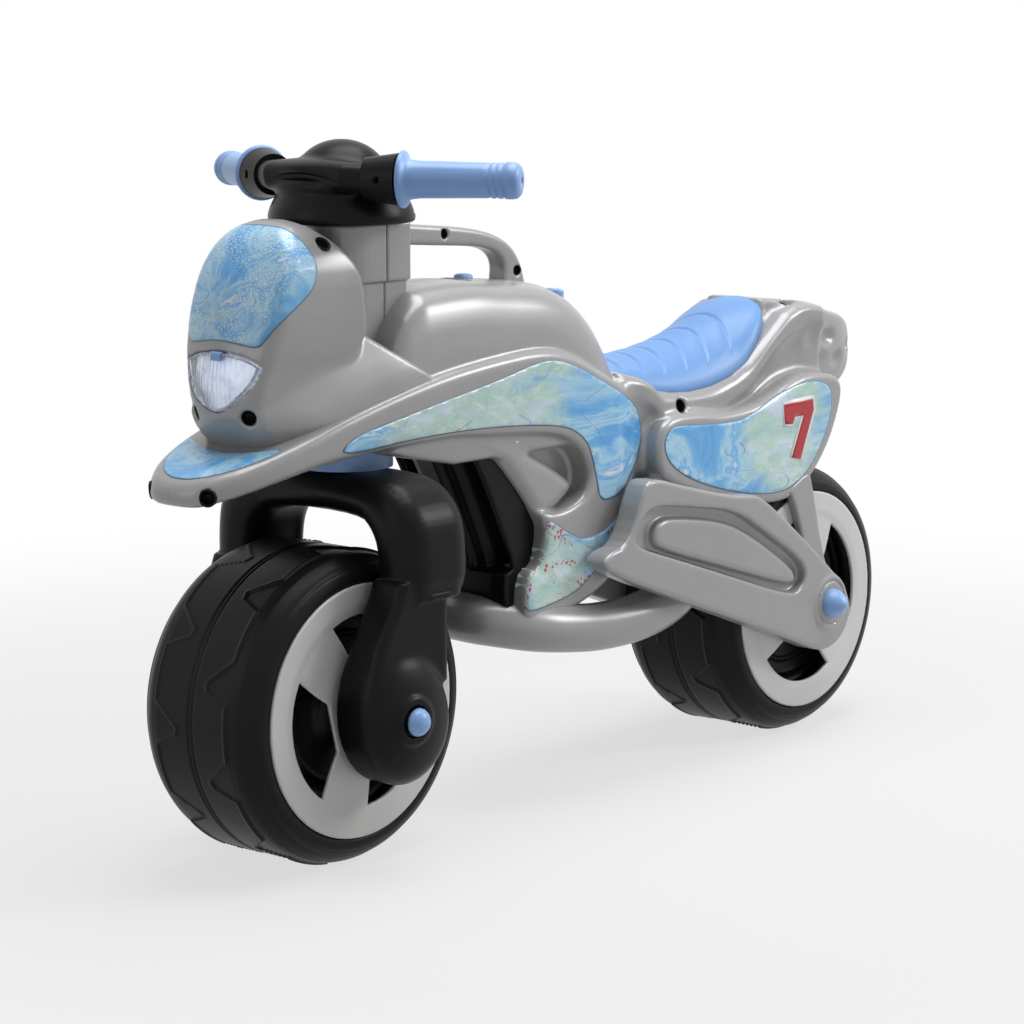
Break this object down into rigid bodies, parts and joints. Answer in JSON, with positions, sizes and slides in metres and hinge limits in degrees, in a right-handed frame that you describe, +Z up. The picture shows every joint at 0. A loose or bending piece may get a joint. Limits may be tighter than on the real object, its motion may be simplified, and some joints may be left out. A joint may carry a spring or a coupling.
{
  "type": "ride-on toy motorcycle",
  "caption": "Foot-to-floor ride-on toy motorcycle: moulded silver body, blue seat and grips, black fork, wide black wheels with pale rim discs, steering that turns.",
  "frame": {"origin": "on the floor, below the middle of the whole toy with its steering straight", "axes": "+X forward along the toy, +Y to the rider's left, +Z up"},
  "size_m": [0.823, 0.3138, 0.537],
  "materials": {
    "body_silver": "satin silver moulded plastic with fine metallic fleck",
    "black_plastic": "black moulded plastic, soft satin",
    "tyre_black": "black blow-moulded plastic tread",
    "rim_pale": "pale silver moulded plastic",
    "seat_blue": "sky blue moulded seat pad",
    "blue_plastic": "blue moulded plastic",
    "lens_clear": "clear ribbed plastic lens",
    "reflector": "bright metallised plastic",
    "lamp_white": "white lamp body",
    "bush_white": "plain white bearing plastic",
    "steel": "zinc-plated steel",
    "cell_metal": "plain cell cans, no print"
  },
  "bodies": {
    "root": {"body_left_shell": "body_silver", "body_right_shell": "body_silver", "nose_cowl": "body_silver", "steering_head_front": "body_silver", "steering_head_rear": "body_silver", "carry_handle": "body_silver", "sound_panel": "body_silver", "rear_arm_left": "body_silver", "rear_arm_right": "body_silver", "rear_strut_left": "body_silver", "rear_strut_right": "body_silver", "exhaust_left": "body_silver", "exhaust_right": "body_silver", "engine_cover_left": "black_plastic", "engine_cover_right": "black_plastic", "sound_module": "black_plastic", "speaker": "black_plastic", "seat_pad": "seat_blue", "headlight_tab": "blue_plastic", "steering_bearing_ring": "blue_plastic", "rear_axle_cap_left": "blue_plastic", "rear_axle_cap_right": "blue_plastic", "headlight_lens": "lens_clear", "headlight_reflector": "reflector", "headlight_lamp": "lamp_white", "steering_bush_upper": "bush_white", "rear_axle": "steel", "body_screws": "steel", "battery_cells": "cell_metal"},
    "steering": {"fork_front_shell": "black_plastic", "fork_rear_shell": "black_plastic", "steering_shaft": "steel", "dash_base": "black_plastic", "dash_cover": "black_plastic", "handlebar_clamp": "black_plastic", "handlebar_tube": "steel", "bar_hub_left": "black_plastic", "bar_hub_right": "black_plastic", "grip_left": "blue_plastic", "grip_right": "blue_plastic", "bar_screws": "steel", "front_axle": "steel", "front_axle_cap_left": "blue_plastic", "front_axle_cap_right": "blue_plastic"},
    "front_wheel": {"front_tyre": "tyre_black", "front_rim_left": "rim_pale", "front_rim_right": "rim_pale", "front_hub": "rim_pale"},
    "rear_wheel": {"rear_tyre": "tyre_black", "rear_rim_left": "rim_pale", "rear_rim_right": "rim_pale", "rear_hub": "rim_pale"},
    "button_start": {"button_start": "blue_plastic"},
    "button_horn": {"button_horn": "blue_plastic"},
    "button_tune": {"button_tune": "blue_plastic"}
  },
  "joints": [
    {"name": "steering_turn", "type": "hinge", "parent": "root", "child": "steering", "pos_m": [0.2315, 0, 0.3], "axis": [0, 0, 1], "range_deg": [-35, 35]},
    {"name": "front_wheel_spin", "type": "hinge", "parent": "steering", "child": "front_wheel", "pos_m": [0.2765, 0, 0.12], "axis": [0, 1, 0], "continuous": true},
    {"name": "rear_wheel_spin", "type": "hinge", "parent": "root", "child": "rear_wheel", "pos_m": [-0.2915, 0, 0.12], "axis": [0, 1, 0], "continuous": true},
    {"name": "button_start_press", "type": "slide", "parent": "root", "child": "button_start", "axis": [0, 0, 1], "range_m": [-0.0025, 0], "stiffness_N_per_m": 300, "springref_m": 0.001},
    {"name": "button_horn_press", "type": "slide", "parent": "root", "child": "button_horn", "axis": [0, 0, 1], "range_m": [-0.0025, 0], "stiffness_N_per_m": 300, "springref_m": 0.001},
    {"name": "button_tune_press", "type": "slide", "parent": "root", "child": "button_tune", "axis": [0, 0, 1], "range_m": [-0.0025, 0], "stiffness_N_per_m": 300, "springref_m": 0.001}
  ]
}
